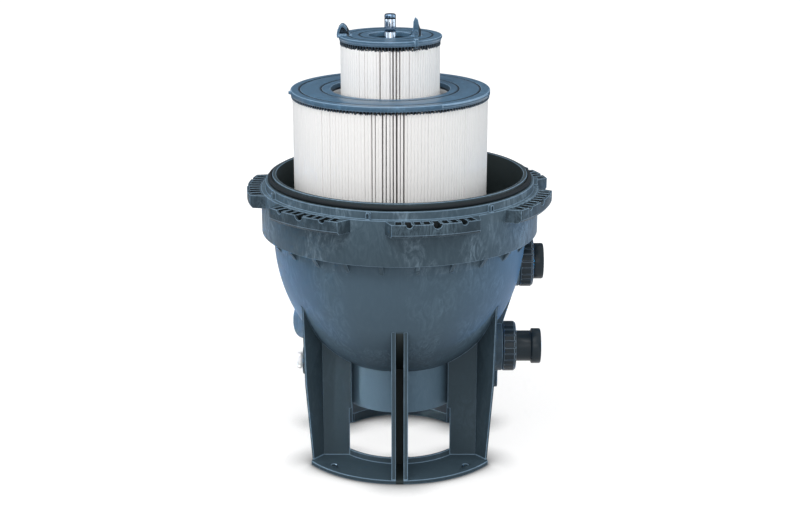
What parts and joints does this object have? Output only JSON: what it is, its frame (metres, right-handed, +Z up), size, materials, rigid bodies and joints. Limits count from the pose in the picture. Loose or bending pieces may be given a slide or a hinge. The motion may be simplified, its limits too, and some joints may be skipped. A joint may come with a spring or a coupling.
{
  "type": "cartridge pool filter",
  "caption": "Free-standing cartridge pool filter with its lid off: nested pleated modules and a bleed tube in a footed plastic tank with side pipe unions.",
  "frame": {"origin": "on the floor, in the middle of the four bolt holes, on the tank's axis", "axes": "+Z up along the tank, +X towards the two pipe ports, -Y is the front foot"},
  "size_m": [0.6895, 0.694, 1.02],
  "materials": {
    "tank_plastic": "moulded, slightly glossy, with flow marks",
    "foot_plastic": "moulded, matte",
    "inner_plastic": "moulded",
    "union_plastic": "moulded, satin",
    "cap_plastic": "moulded, satin",
    "plug_plastic": "off-white",
    "core_plastic": "white",
    "filter_fabric": "white spunbonded polyester, pleated",
    "seal_rubber": "black",
    "tube_steel": "bright drawn"
  },
  "bodies": {
    "tank": {"tank_bowl": "tank_plastic", "tank_belt": "tank_plastic", "tank_rim": "tank_plastic", "clamp_lugs": "tank_plastic", "front_foot": "foot_plastic", "rear_foot": "foot_plastic", "tank_oring": "seal_rubber", "manifold": "inner_plastic", "outer_seat_gasket": "seal_rubber", "inner_seat_gasket": "seal_rubber", "outlet_elbow": "inner_plastic", "inlet_diffuser": "inner_plastic", "lower_neck": "union_plastic", "lower_union_oring": "seal_rubber", "lower_tailpiece": "union_plastic", "upper_neck": "union_plastic", "upper_union_oring": "seal_rubber", "upper_tailpiece": "union_plastic", "drain_bushing": "union_plastic", "drain_oring": "seal_rubber", "air_bleed_tube": "tube_steel", "tube_oring": "seal_rubber", "tube_plug": "tube_steel"},
    "outer_module": {"outer_top_cap": "cap_plastic", "outer_bottom_cap": "cap_plastic", "outer_pleat_pack": "filter_fabric", "outer_core": "core_plastic"},
    "inner_module": {"inner_top_cap": "cap_plastic", "inner_bottom_cap": "cap_plastic", "inner_pleat_pack": "filter_fabric", "inner_core": "core_plastic"},
    "lower_nut": {"lower_union_nut": "union_plastic"},
    "upper_nut": {"upper_union_nut": "union_plastic"},
    "plug": {"drain_plug": "plug_plastic"}
  },
  "joints": [
    {"name": "outer_module_lift", "type": "slide", "parent": "tank", "child": "outer_module", "axis": [0, 0, 1], "range_m": [0, 0.66]},
    {"name": "inner_module_lift", "type": "slide", "parent": "tank", "child": "inner_module", "axis": [0, 0, 1], "range_m": [0, 0.66]},
    {"name": "lower_nut_turn", "type": "hinge", "parent": "tank", "child": "lower_nut", "pos_m": [0.25, 0, 0.2415], "axis": [1, 0, 0], "continuous": true},
    {"name": "upper_nut_turn", "type": "hinge", "parent": "tank", "child": "upper_nut", "pos_m": [0.285, 0, 0.451], "axis": [1, 0, 0], "continuous": true},
    {"name": "drain_plug_turn", "type": "hinge", "parent": "tank", "child": "plug", "pos_m": [-0.22, 0, 0.205], "axis": [-1, 0, 0], "continuous": true}
  ]
}
